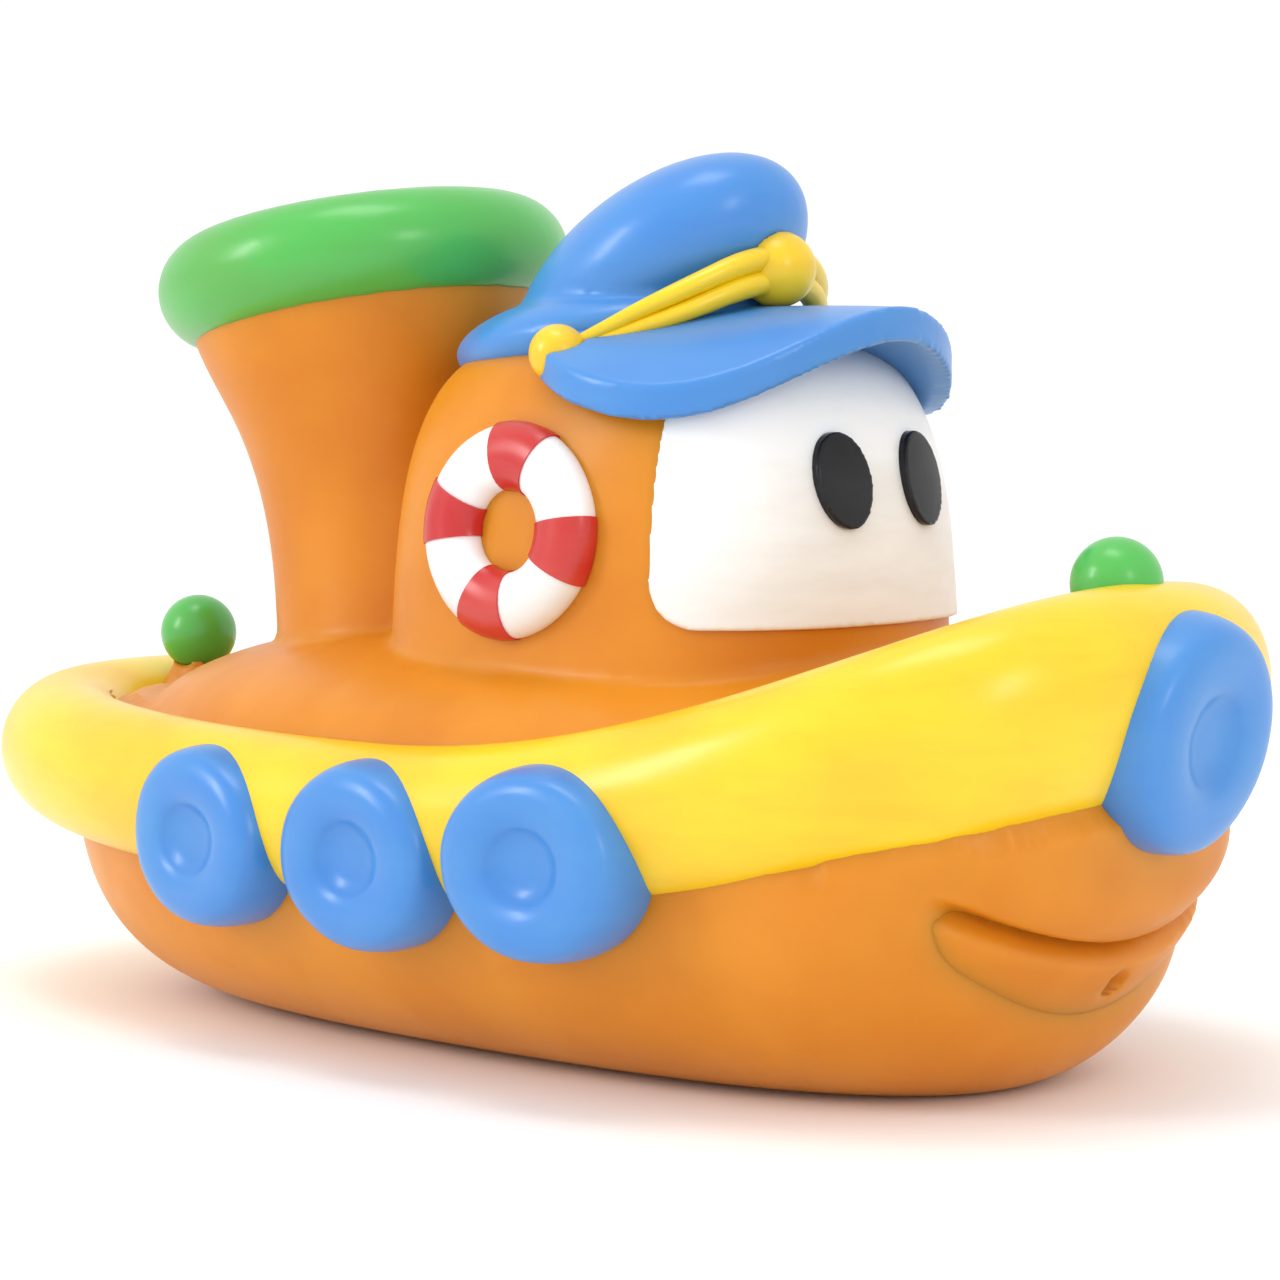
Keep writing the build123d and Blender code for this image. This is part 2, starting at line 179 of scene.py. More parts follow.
def buildPigmentDrift():
    # uneven pigment: broad clouds plus streaks left by the brush, 0 thick to 1 thin
    group = bpy.data.node_groups.new("pigmentDrift", "ShaderNodeTree")
    addSocket(group, "Vector", "INPUT", "NodeSocketVector")
    addSocket(group, "Cloud Scale", "INPUT", "NodeSocketFloat", 60.0)
    addSocket(group, "Streak Scale", "INPUT", "NodeSocketFloat", 260.0)
    addSocket(group, "Streak Share", "INPUT", "NodeSocketFloat", 0.4)
    addSocket(group, "Thin", "OUTPUT", "NodeSocketFloat")
    inlet = group.nodes.new("NodeGroupInput")
    outlet = group.nodes.new("NodeGroupOutput")
    cloud = group.nodes.new("ShaderNodeTexNoise")
    cloud.inputs["Detail"].default_value = 3.0
    link(group, inlet.outputs["Vector"], cloud.inputs["Vector"])
    link(group, inlet.outputs["Cloud Scale"], cloud.inputs["Scale"])
    stretch = group.nodes.new("ShaderNodeMapping")
    stretch.inputs["Scale"].default_value = (0.22, 0.22, 1.0)
    stretch.inputs["Rotation"].default_value = (0.12, 0.18, 0.0)
    link(group, inlet.outputs["Vector"], stretch.inputs["Vector"])
    streak = group.nodes.new("ShaderNodeTexNoise")
    streak.inputs["Detail"].default_value = 5.0
    streak.inputs["Roughness"].default_value = 0.6
    link(group, stretch.outputs[0], streak.inputs["Vector"])
    link(group, inlet.outputs["Streak Scale"], streak.inputs["Scale"])
    streakPart = mathNode(group, "MULTIPLY", streak.outputs[0], inlet.outputs["Streak Share"])
    rest = mathNode(group, "SUBTRACT", 1.0, inlet.outputs["Streak Share"])
    cloudPart = mathNode(group, "MULTIPLY", cloud.outputs[0], rest)
    total = mathNode(group, "ADD", streakPart, cloudPart)
    ramp = group.nodes.new("ShaderNodeMapRange")
    ramp.interpolation_type = "SMOOTHSTEP"
    ramp.inputs["From Min"].default_value = 0.38
    ramp.inputs["From Max"].default_value = 0.68
    link(group, total, ramp.inputs["Value"])
    link(group, ramp.outputs[0], outlet.inputs["Thin"])
    return group


def buildMouldGrain():
    # soft swellings of a thick vinyl wall and a fine eggshell skin
    group = bpy.data.node_groups.new("mouldGrain", "ShaderNodeTree")
    addSocket(group, "Vector", "INPUT", "NodeSocketVector")
    addSocket(group, "Swell", "INPUT", "NodeSocketFloat", 0.25)
    addSocket(group, "Grain", "INPUT", "NodeSocketFloat", 0.02)
    addSocket(group, "Normal", "OUTPUT", "NodeSocketVector")
    inlet = group.nodes.new("NodeGroupInput")
    outlet = group.nodes.new("NodeGroupOutput")
    wave = group.nodes.new("ShaderNodeTexNoise")
    wave.inputs["Scale"].default_value = 95.0
    wave.inputs["Detail"].default_value = 1.5
    fine = group.nodes.new("ShaderNodeTexNoise")
    fine.inputs["Scale"].default_value = 2600.0
    fine.inputs["Detail"].default_value = 3.0
    link(group, inlet.outputs["Vector"], wave.inputs["Vector"])
    link(group, inlet.outputs["Vector"], fine.inputs["Vector"])
    waveHeight = mathNode(group, "MULTIPLY", wave.outputs[0], inlet.outputs["Swell"])
    fineHeight = mathNode(group, "MULTIPLY", fine.outputs[0], inlet.outputs["Grain"])
    height = mathNode(group, "ADD", waveHeight, fineHeight)
    relief = group.nodes.new("ShaderNodeBump")
    relief.inputs["Strength"].default_value = 1.0
    relief.inputs["Distance"].default_value = 0.001
    link(group, height, relief.inputs["Height"])
    link(group, relief.outputs[0], outlet.inputs["Normal"])
    return group


pigmentDrift = buildPigmentDrift()
mouldGrain = buildMouldGrain()


def makeFinish(name, look):
    material = bpy.data.materials.new(name)
    material.use_nodes = True
    tree = material.node_tree
    tree.nodes.clear()
    output = tree.nodes.new("ShaderNodeOutputMaterial")
    shader = tree.nodes.new("ShaderNodeBsdfPrincipled")
    link(tree, shader.outputs[0], output.inputs["Surface"])
    place = tree.nodes.new("ShaderNodeTexCoord")
    drift = tree.nodes.new("ShaderNodeGroup")
    drift.node_tree = pigmentDrift
    drift.inputs["Cloud Scale"].default_value = look["cloudScale"]
    drift.inputs["Streak Scale"].default_value = look["streakScale"]
    drift.inputs["Streak Share"].default_value = look["streakShare"]
    link(tree, place.outputs["Object"], drift.inputs["Vector"])
    tint = tree.nodes.new("ShaderNodeMix")
    tint.data_type = "RGBA"
    tint.inputs["A"].default_value = (*look["colour"], 1.0)
    tint.inputs["B"].default_value = (*look["thinColour"], 1.0)
    link(tree, drift.outputs["Thin"], tint.inputs["Factor"])
    link(tree, tint.outputs["Result"], shader.inputs["Base Color"])
    sheen = tree.nodes.new("ShaderNodeMapRange")
    sheen.inputs["To Min"].default_value = look["roughness"]
    sheen.inputs["To Max"].default_value = look["roughness"] + look["roughnessDrift"]
    link(tree, drift.outputs["Thin"], sheen.inputs["Value"])
    link(tree, sheen.outputs[0], shader.inputs["Roughness"])
    grain = tree.nodes.new("ShaderNodeGroup")
    grain.node_tree = mouldGrain
    grain.inputs["Swell"].default_value = look["swell"]
    grain.inputs["Grain"].default_value = look["grain"]
    link(tree, place.outputs["Object"], grain.inputs["Vector"])
    link(tree, grain.outputs["Normal"], shader.inputs["Normal"])
    shader.inputs["Subsurface Weight"].default_value = look["glow"]
    shader.inputs["Subsurface Radius"].default_value = look["glowReach"]
    shader.inputs["Subsurface Scale"].default_value = 0.001
    shader.inputs["Specular IOR Level"].default_value = look["specular"]
    shader.inputs["Coat Weight"].default_value = look["coat"]
    shader.inputs["Coat Roughness"].default_value = look["coatRoughness"]
    return material


paintBase = {
    "cloudScale": 70.0,
    "streakScale": 300.0,
    "streakShare": 0.45,
    "roughness": 0.30,
    "roughnessDrift": 0.08,
    "swell": 0.22,
    "grain": 0.004,
    "glow": 0.08,
    "glowReach": (1.5, 1.0, 0.6),
    "specular": 0.5,
    "coat": 0.2,
    "coatRoughness": 0.2,
}
hullVinyl = makeFinish(
    "hullVinyl",
    {
        **paintBase,
        "colour": (0.70, 0.255, 0.014),
        "thinColour": (0.62, 0.205, 0.008),
        "specular": 0.3,
        "streakShare": 0.1,
        "roughness": 0.36,
        "glow": 0.35,
        "glowReach": (3.5, 1.4, 0.4),
        "coat": 0.0,
        "coatRoughness": 0.35,
    },
)
yellowPaint = makeFinish(
    "yellowPaint",
    {**paintBase, "colour": (0.90, 0.62, 0.008), "thinColour": (0.84, 0.50, 0.006), "glow": 0.15},
)
bluePaint = makeFinish(
    "bluePaint",
    {**paintBase, "colour": (0.045, 0.225, 0.62), "thinColour": (0.06, 0.26, 0.62), "roughness": 0.33},
)
greenPaint = makeFinish(
    "greenPaint",
    {**paintBase, "colour": (0.07, 0.47, 0.075), "thinColour": (0.09, 0.40, 0.06)},
)
whitePaint = makeFinish(
    "whitePaint",
    {
        **paintBase,
        "colour": (0.86, 0.86, 0.87),
        "thinColour": (0.78, 0.775, 0.77),
        "streakShare": 0.75,
        "roughness": 0.42,
        "coat": 0.05,
    },
)
redPaint = makeFinish(
    "redPaint",
    {**paintBase, "colour": (0.52, 0.010, 0.012), "thinColour": (0.58, 0.05, 0.035)},
)
blackPaint = makeFinish(
    "blackPaint",
    {
        **paintBase,
        "colour": (0.008, 0.008, 0.010),
        "thinColour": (0.022, 0.022, 0.026),
        "roughness": 0.14,
        "specular": 0.22,
        "glow": 0.0,
        "coat": 0.0,
    },
)
print("finishes mixed")

# the vinyl body
body = {
    "grain": 0.42 * mm,
    "triangles": 185000,
    "holeReach": 1.6,  # millimetres round the squirt hole's axis where its wall is cut away
    "holeHeight": 7.4,
    "holeRadius": 0.75,
    "holeDepth": 2.2,
    "holeEdge": (0.7, 1.25),  # where the hole's rounded edge starts and ends, as shares of its radius
    "bowBeyond": 30.0,  # x past which a point belongs to the bow
}


def outerHull(shape):
    # the squirt hole joins the outside to the cavity: cut its wall, keep the outside, close the cut
    middle = Vector((0, 0, body["holeHeight"] * mm))
    wallFaces = []
    for face in shape.faces:
        spot = face.calc_center_median()
        away = Vector((0, spot.y, spot.z - middle.z)).length
        nearHole = spot.x > body["bowBeyond"] * mm and away < body["holeReach"] * 0.5 * mm
        if nearHole and abs(face.normal.x) < 0.5:
            wallFaces.append(face)
    bmesh.ops.delete(shape, geom=wallFaces, context="FACES")
    reached = set()
    start = max(shape.verts, key=lambda vert: vert.co.z)
    queue = [start]
    reached.add(start)
    while queue:
        vert = queue.pop()
        for edge in vert.link_edges:
            other = edge.other_vert(vert)
            if other not in reached:
                reached.add(other)
                queue.append(other)
    bmesh.ops.delete(shape, geom=[v for v in shape.verts if v not in reached], context="VERTS")
    rim = [edge for edge in shape.edges if edge.is_boundary]
    print("squirt hole rim edges:", len(rim), "kept vertices:", len(shape.verts))
    bmesh.ops.holes_fill(shape, edges=rim, sides=0)
    return shape


vinylBody = evenSkin("vinylBody", outerHull(mergedCopy("vinylBody", ["body_shell"])), body["grain"])
relax(vinylBody, 4)
points = readPoints(vinylBody)
print("body skin:", len(points), "points")

mouth = {
    "middle": 10.2,  # height of the lip edge at the stem
    "corner": 14.0,
    "reach": 14.6,  # how far to each side the corners are
    "depth": 1.9,  # how far the mouth goes in under the lip
    "grooveDrop": 0.8,  # how far the mould groove lies under the lip edge
    "opening": 7.0,  # height of the hollow at the stem
    "narrowing": 0.35,  # how much of that height is lost at the corners
    "lipEdge": (-0.7, 0.25),  # the hollow starts within this much of the lip edge
    "cornerRound": (2.6, 1.8),  # the hollow ends between these, inside and outside the corner
    "bow": (26, 34),  # x over which the modelling comes in
    "top": (17, 21),  # height over which it goes out again
    "evening": 90,  # rounds that take the mould groove away
}
swell = {
    "lip": {"amount": 0.75, "above": 2.2, "width": 2.0, "sides": (11, 15)},
    "chin": {"amount": 0.5, "below": 8.6, "width": 2.4, "halfWidth": 8.0},
    "cheek": {"amount": 1.15, "out": 18.4, "width": 2.3, "height": 13.0, "tall": 4.2},
}


def lipHeight(side):
    return mouth["middle"] + (mouth["corner"] - mouth["middle"]) * (side / mouth["reach"]) ** 2


# the mould groove is evened out first, the modelled mouth takes its place
x, y, z = points.T
side = np.abs(y)
fromMouth = np.abs(z + mouth["grooveDrop"] - lipHeight(side))
nearMouth = fade(x, 24, 30) * (1 - fade(fromMouth, 3.5, 6.0)) * (1 - fade(side, 18, 21))
relax(vinylBody, mouth["evening"], nearMouth * fade(z, 2.5, 4.0), keepSize=False)
points = readPoints(vinylBody)
normals = readNormals(vinylBody)
x, y, z = points.T
side = np.abs(y)
above = z - lipHeight(side)
front = fade(x, *mouth["bow"]) * (1 - fade(z, *mouth["top"]))
inside, outside = mouth["cornerRound"]
along = 1 - fade(side, mouth["reach"] - inside, mouth["reach"] + outside)
opening = mouth["opening"] * (1 - mouth["narrowing"] * (side / mouth["reach"]) ** 2)
hollow = (1 - fade(above, *mouth["lipEdge"])) * (1 - fade(-above / opening, 0.0, 1.2))
push = -mouth["depth"] * hollow * along
lip, chin, cheek = swell["lip"], swell["chin"], swell["cheek"]
push += lip["amount"] * bump(above - lip["above"], lip["width"]) * (1 - fade(side, *lip["sides"]))
push += chin["amount"] * bump(above + chin["below"], chin["width"]) * bump(y, chin["halfWidth"])
cheekTall = bump(z - cheek["height"], cheek["tall"])
push += cheek["amount"] * bump(side - cheek["out"], cheek["width"]) * cheekTall
points += normals * (push * front)[:, None]
writePoints(vinylBody, points)
relax(vinylBody, 6)
points = readPoints(vinylBody)
points[:, 2] = np.maximum(points[:, 2], 0)  # the keel stays flat on the table
x, y, z = points.T
away = np.hypot(y, z - body["holeHeight"])
pierced = 1 - fade(away, *[body["holeRadius"] * share for share in body["holeEdge"]])
points[:, 0] -= np.where(x > body["bowBeyond"], body["holeDepth"] * pierced, 0)
writePoints(vinylBody, points)
standFor(vinylBody, ["body_shell"], hullVinyl)

# painted reliefs
def middleOf(nodeName):
    low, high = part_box(nodeName)
    return (low + high) / (2 * mm)


def gridSurface(name, rows, closedRows=False):
    # a closed skin through equal rows of points, each row a loop
    count = len(rows[0])
    points = [tuple(c * mm for c in point) for row in rows for point in row]
    faces = []
    last = len(rows) if closedRows else len(rows) - 1
    for row in range(last):
        following = (row + 1) % len(rows)
        for step in range(count):
            after = (step + 1) % count
            near, far = row * count, following * count
            faces.append((near + step, near + after, far + after, far + step))
    mesh = bpy.data.meshes.new(name)
    mesh.from_pydata(points, [], faces)
    shape = bmesh.new()
    shape.from_mesh(mesh)
    bmesh.ops.remove_doubles(shape, verts=shape.verts, dist=1e-7)
    rim = [edge for edge in shape.edges if edge.is_boundary]
    if rim:
        bmesh.ops.holes_fill(shape, edges=rim, sides=0)
    bmesh.ops.recalc_face_normals(shape, faces=shape.faces)
    shape.to_mesh(mesh)
    shape.free()
    return newObject(name, mesh)


rail = {
    "middle": 2.8,
    "bow": 49.34 - 5.7,
    "stern": -50.0 + 5.4,
    "halfBeam": 25.6 - 3.8,
    "fullness": (0.74, 0.69),  # bow, stern
    "depth": (5.7, 3.8, 5.4),  # half depth at the bow, amidships, stern
    "height": (8.2, 5.0, 5.0),
    "level": (16.1, 11.6, 2.5),  # amidships, then the rise at the bow and the stern
    "lean": 22.0,
    "stations": 200,
    "sides": 56,
}


def quarterPoint(tip, side, fullness, share):
    middle, wide = rail["middle"], side * rail["halfBeam"]
    reach = tip - middle
    corners = [(tip, 0), (tip, wide * fullness), (middle + reach * fullness, wide), (middle, wide)]
    weights = [(1 - share) ** 3, 3 * (1 - share) ** 2 * share, 3 * (1 - share) * share**2, share**3]
    return np.array([sum(w * c[axis] for w, c in zip(weights, corners)) for axis in (0, 1)])


def railSkin():
    count = rail["stations"] // 4
    path = []
    for side, tip, fullness, forward in (
        (-1, rail["bow"], rail["fullness"][0], True),
        (-1, rail["stern"], rail["fullness"][1], False),
        (1, rail["stern"], rail["fullness"][1], True),
        (1, rail["bow"], rail["fullness"][0], False),
    ):
        shares = np.arange(count) / count
        path += [quarterPoint(tip, side, fullness, share if forward else 1 - share) for share in shares]
    path = np.array(path)
    rows = []
    for index, (px, py) in enumerate(path):
        run = path[(index + 1) % len(path)] - path[index - 1]
        outward = np.array([-run[1], run[0]]) / np.hypot(*run)
        if outward @ np.array([px - rail["middle"], py]) < 0:
            outward = -outward
        share = ((px - rail["middle"]) / 50.0) ** 2
        end = 0 if px > rail["middle"] else 2
        depth = rail["depth"][1] + (rail["depth"][end] - rail["depth"][1]) * share
        height = rail["height"][1] + (rail["height"][end] - rail["height"][1]) * share
        rise = rail["level"][1] if px > -0.2 else rail["level"][2]
        level = rail["level"][0] + rise * ((px + 0.2) / 50.0) ** 2
        lean = radians(rail["lean"]) * share if px > rail["middle"] else 0.0
        row = []
        for step in range(rail["sides"]):
            angle = 2 * pi * step / rail["sides"]
            across, up = depth * cos(angle), height * sin(angle)
            turned = across * cos(lean) + up * sin(lean)
            raised = up * cos(lean) - across * sin(lean)
            row.append((px + outward[0] * turned, py + outward[1] * turned, level + raised))
        rows.append(row)
    return gridSurface("railPaint", rows, closedRows=True)


def tuckUnder(skin, cover, reach, keep):
    # draws back whatever of the skin stands a little proud of the sides of the cover
    corners = [vert.co / mm for vert in cover.data.vertices]
    tree = BVHTree.FromPolygons(corners, [face.vertices[:] for face in cover.data.polygons])
    points = readPoints(skin)
    moved = np.zeros(len(points))
    proud = 0.0
    for index, point in enumerate(points):
        if point[2] < 8 or abs(point[1]) < 3 and abs(point[0]) < 35:
            continue
        spot, normal, face, distance = tree.find_nearest(Vector(point), reach)
        if spot is None or abs(normal.z) > 0.8 or (Vector(point) - spot).dot(normal) < -keep:
            continue
        proud = max(proud, (Vector(point) - spot).dot(normal))
        points[index] = spot - normal * keep
        moved[index] = 1.0
    writePoints(skin, points)
    relax(skin, 5, moved, keepSize=False)
    print("hull drawn back under the rail, most", round(proud, 2), "mm")


railPaint = railSkin()
standFor(railPaint, ["gunwale"], yellowPaint)
tuckUnder(vinylBody, railPaint, reach=1.3, keep=0.35)
thinOut(vinylBody, body["triangles"])
smoothShade(vinylBody)
print("rail laid")


# geometry trees: turned cushions, ropes along a path, arcs repeated round a ring
def treeNode(tree, kind, **settings):
    node = tree.nodes.new(kind)
    for key, value in settings.items():
        setattr(node, key, value)
    return node


def finishTree(tree, geometry, inlet):
    shade = treeNode(tree, "GeometryNodeSetShadeSmooth")
    realize = treeNode(tree, "GeometryNodeRealizeInstances")
    paint = treeNode(tree, "GeometryNodeSetMaterial")
    outlet = treeNode(tree, "NodeGroupOutput")
    link(tree, geometry, shade.inputs["Geometry"])
    link(tree, shade.outputs[0], realize.inputs["Geometry"])
    link(tree, realize.outputs[0], paint.inputs["Geometry"])
    link(tree, inlet.outputs["Finish"], paint.inputs["Material"])
    link(tree, paint.outputs[0], outlet.inputs["Geometry"])


def wobble(tree, geometry, inlet):
    # the small unevenness of a hand-cut mould
    place = treeNode(tree, "GeometryNodeInputPosition")
    noise = treeNode(tree, "ShaderNodeTexNoise", noise_dimensions="4D")
    noise.inputs["Scale"].default_value = 130.0
    noise.inputs["Detail"].default_value = 1.0
    centred = treeNode(tree, "ShaderNodeVectorMath", operation="SUBTRACT")
    centred.inputs[1].default_value = (0.5, 0.5, 0.5)
    amount = treeNode(tree, "ShaderNodeVectorMath", operation="SCALE")
    move = treeNode(tree, "GeometryNodeSetPosition")
    link(tree, place.outputs[0], noise.inputs["Vector"])
    link(tree, inlet.outputs["Seed"], noise.inputs["W"])
    link(tree, noise.outputs["Color"], centred.inputs[0])
    link(tree, centred.outputs[0], amount.inputs[0])
    link(tree, inlet.outputs["Wobble"], amount.inputs["Scale"])
    link(tree, geometry, move.inputs["Geometry"])
    link(tree, amount.outputs[0], move.inputs["Offset"])
    return move.outputs[0]


def startTree(name, extra):
    tree = bpy.data.node_groups.new(name, "GeometryNodeTree")
    addSocket(tree, "Geometry", "INPUT", "NodeSocketGeometry")
    for label, kind, value in extra:
        addSocket(tree, label, "INPUT", kind, value)
    addSocket(tree, "Seed", "INPUT", "NodeSocketFloat", 0.0)
    addSocket(tree, "Wobble", "INPUT", "NodeSocketFloat", 0.0003)
    addSocket(tree, "Finish", "INPUT", "NodeSocketMaterial")
    addSocket(tree, "Geometry", "OUTPUT", "NodeSocketGeometry")
    return tree, treeNode(tree, "NodeGroupInput")


def buildTurnedTree():
    # the piece's own curve is the profile, drawn from the rim of a circle of Core radius
    tree, inlet = startTree(
        "turnedCushion",
        [
            ("Core", "NodeSocketFloat", 0.001),
            ("Steps", "NodeSocketInt", 96),
            ("Stretch", "NodeSocketFloat", 1.0),
        ],
    )
    circle = treeNode(tree, "GeometryNodeCurvePrimitiveCircle")
    link(tree, inlet.outputs["Steps"], circle.inputs["Resolution"])
    link(tree, inlet.outputs["Core"], circle.inputs["Radius"])
    sweep = treeNode(tree, "GeometryNodeCurveToMesh")
    link(tree, circle.outputs[0], sweep.inputs["Curve"])
    link(tree, inlet.outputs["Geometry"], sweep.inputs["Profile Curve"])
    merge = treeNode(tree, "GeometryNodeMergeByDistance")
    merge.inputs["Distance"].default_value = 0.00002
    link(tree, sweep.outputs[0], merge.inputs["Geometry"])
    scale = treeNode(tree, "ShaderNodeCombineXYZ")
    scale.inputs[1].default_value = 1.0
    scale.inputs[2].default_value = 1.0
    link(tree, inlet.outputs["Stretch"], scale.inputs[0])
    widen = treeNode(tree, "GeometryNodeTransform")
    link(tree, merge.outputs[0], widen.inputs["Geometry"])
    link(tree, scale.outputs[0], widen.inputs["Scale"])
    finishTree(tree, wobble(tree, widen.outputs[0], inlet), inlet)
    return tree


def buildRopeTree():
    # a rope along the piece's own curve, thicker towards its middle
    tree, inlet = startTree(
        "paintedRope",
        [
            ("Thin End", "NodeSocketFloat", 0.0007),
            ("Thick Middle", "NodeSocketFloat", 0.0014),
            ("Flatness", "NodeSocketFloat", 0.8),
            ("Sides", "NodeSocketInt", 20),
        ],
    )
    fine = treeNode(tree, "GeometryNodeResampleCurve")
    fine.inputs["Count"].default_value = 120
    link(tree, inlet.outputs["Geometry"], fine.inputs["Curve"])
    along = treeNode(tree, "GeometryNodeSplineParameter")
    fromMiddle = mathNode(tree, "ABSOLUTE", mathNode(tree, "SUBTRACT", along.outputs["Factor"], 0.5), 0.0)
    thick = treeNode(tree, "ShaderNodeMapRange", interpolation_type="SMOOTHSTEP")
    thick.inputs["From Min"].default_value = 0.5
    thick.inputs["From Max"].default_value = 0.0
    link(tree, fromMiddle, thick.inputs["Value"])
    link(tree, inlet.outputs["Thin End"], thick.inputs["To Min"])
    link(tree, inlet.outputs["Thick Middle"], thick.inputs["To Max"])
    circle = treeNode(tree, "GeometryNodeCurvePrimitiveCircle")
    circle.inputs["Radius"].default_value = 1.0
    link(tree, inlet.outputs["Sides"], circle.inputs["Resolution"])
    squash = treeNode(tree, "ShaderNodeCombineXYZ")
    squash.inputs[0].default_value = 1.0
    squash.inputs[2].default_value = 1.0
    link(tree, inlet.outputs["Flatness"], squash.inputs[1])
    oval = treeNode(tree, "GeometryNodeTransform")
    link(tree, circle.outputs[0], oval.inputs["Geometry"])
    link(tree, squash.outputs[0], oval.inputs["Scale"])
    sweep = treeNode(tree, "GeometryNodeCurveToMesh")
    sweep.inputs["Fill Caps"].default_value = True
    link(tree, fine.outputs[0], sweep.inputs["Curve"])
    link(tree, oval.outputs[0], sweep.inputs["Profile Curve"])
    link(tree, thick.outputs[0], sweep.inputs["Scale"])
    finishTree(tree, wobble(tree, sweep.outputs[0], inlet), inlet)
    return tree


def buildRingTree():
    # an arc of oval section, repeated round a ring; a full ring when the Share is 1
    tree, inlet = startTree(
        "repeatedArc",
        [
            ("Ring Radius", "NodeSocketFloat", 0.005),
            ("Half Width", "NodeSocketFloat", 0.002),
            ("Half Relief", "NodeSocketFloat", 0.0015),
            ("Share", "NodeSocketFloat", 1.0),
            ("Repeats", "NodeSocketInt", 1),
        ],
    )
    circle = treeNode(tree, "GeometryNodeCurvePrimitiveCircle")
    circle.inputs["Resolution"].default_value = 128
    link(tree, inlet.outputs["Ring Radius"], circle.inputs["Radius"])
    trim = treeNode(tree, "GeometryNodeTrimCurve")
    link(tree, circle.outputs[0], trim.inputs["Curve"])
    link(tree, inlet.outputs["Share"], trim.inputs["End"])
    section = treeNode(tree, "GeometryNodeCurvePrimitiveCircle")
    section.inputs["Resolution"].default_value = 28
    section.inputs["Radius"].default_value = 1.0
    ovalSize = treeNode(tree, "ShaderNodeCombineXYZ")
    ovalSize.inputs[2].default_value = 1.0
    link(tree, inlet.outputs["Half Width"], ovalSize.inputs[0])
    link(tree, inlet.outputs["Half Relief"], ovalSize.inputs[1])
    oval = treeNode(tree, "GeometryNodeTransform")
    link(tree, section.outputs[0], oval.inputs["Geometry"])
    link(tree, ovalSize.outputs[0], oval.inputs["Scale"])
    sweep = treeNode(tree, "GeometryNodeCurveToMesh")
    sweep.inputs["Fill Caps"].default_value = True
    link(tree, trim.outputs[0], sweep.inputs["Curve"])
    link(tree, oval.outputs[0], sweep.inputs["Profile Curve"])
    spots = treeNode(tree, "GeometryNodePoints")
    link(tree, inlet.outputs["Repeats"], spots.inputs["Count"])
    index = treeNode(tree, "GeometryNodeInputIndex")
    wholeTurns = mathNode(tree, "MULTIPLY", index.outputs[0], 2 * pi)
    turn = mathNode(tree, "DIVIDE", wholeTurns, inlet.outputs["Repeats"])
    rotation = treeNode(tree, "ShaderNodeCombineXYZ")
    link(tree, turn, rotation.inputs[2])
    copies = treeNode(tree, "GeometryNodeInstanceOnPoints")
    link(tree, spots.outputs[0], copies.inputs["Points"])
    link(tree, sweep.outputs[0], copies.inputs["Instance"])
    link(tree, rotation.outputs[0], copies.inputs["Rotation"])
    real = treeNode(tree, "GeometryNodeRealizeInstances")
    link(tree, copies.outputs[0], real.inputs["Geometry"])
    finishTree(tree, wobble(tree, real.outputs[0], inlet), inlet)
    return tree


def curveObject(name, *paths):
    data = bpy.data.curves.new(name, "CURVE")
    data.dimensions = "3D"
    for path in paths:
        spline = data.splines.new("POLY")
        spline.points.add(len(path) - 1)
        for point, spot in zip(spline.points, path):
            point.co = (*[c * mm for c in spot], 1.0)
    piece = bpy.data.objects.new(name, data)
    scene.collection.objects.link(piece)
    return piece


def growPiece(name, source, tree, settings, place):
    # runs the tree, keeps its result as a plain mesh and puts its place in the mesh
    modifier = source.modifiers.new("grow", "NODES")
    modifier.node_group = tree
    sockets = {item.name: item.identifier for item in tree.interface.items_tree if item.in_out == "INPUT"}
    for label, value in settings.items():
        modifier[sockets[label]] = value
    bpy.context.view_layer.update()
    evaluated = source.evaluated_get(bpy.context.evaluated_depsgraph_get())
    mesh = bpy.data.meshes.new_from_object(evaluated)
    mesh.name = name
    bpy.data.objects.remove(source)
    shape = bmesh.new()
    shape.from_mesh(mesh)
    bmesh.ops.remove_doubles(shape, verts=shape.verts, dist=1e-7)
    rim = [edge for edge in shape.edges if edge.is_boundary]
    if rim:
        bmesh.ops.holes_fill(shape, edges=rim, sides=0)
    shape.transform(place)
    bmesh.ops.recalc_face_normals(shape, faces=shape.faces)
    shape.to_mesh(mesh)
    shape.free()
    return newObject(name, mesh)


def smoothCurve(points, rounds=4):
    # Chaikin corner cutting, the ends stay
    points = [np.array(p, float) for p in points]
    for turn in range(rounds):
        cut = [points[0]]
        for a, b in zip(points[:-1], points[1:]):
            cut += [a * 0.75 + b * 0.25, a * 0.25 + b * 0.75]
        points = cut + [points[-1]]
    return points


turnedCushion = buildTurnedTree()
paintedRope = buildRopeTree()
repeatedArc = buildRingTree()

fender = {
    "core": 1.0,
    "sideRadius": 6.2,
    "sideDepth": 7.0,
    "stretch": 1.12,
    "bowRadius": 7.5,
    "bowDepth": 6.6,
    # share of the radius and of the depth, from the dimple's middle round to the back
    "profile": [
        (0, -0.15),
        (0.20, -0.15),
        (0.33, -0.11),
        (0.43, -0.03),
        (0.60, 0),
        (0.80, -0.02),
        (0.94, -0.12),
        (1.0, -0.38),
        (1.0, -0.65),
        (0.93, -1.0),
        (0.5, -1.0),
        (0, -1.0),
    ],
    "seedStep": 3.7,
    "bowSeed": 30.0,
    "slack": 0.1,  # how much smaller than its CAD fender a cushion is, in radius
    "sideSink": 0.32,
    "bowSink": 0.9,
    "bowTilt": 9.0,
    "yaw": {"aft": 7.0, "mid": 1.0, "fore": -4.0},
}


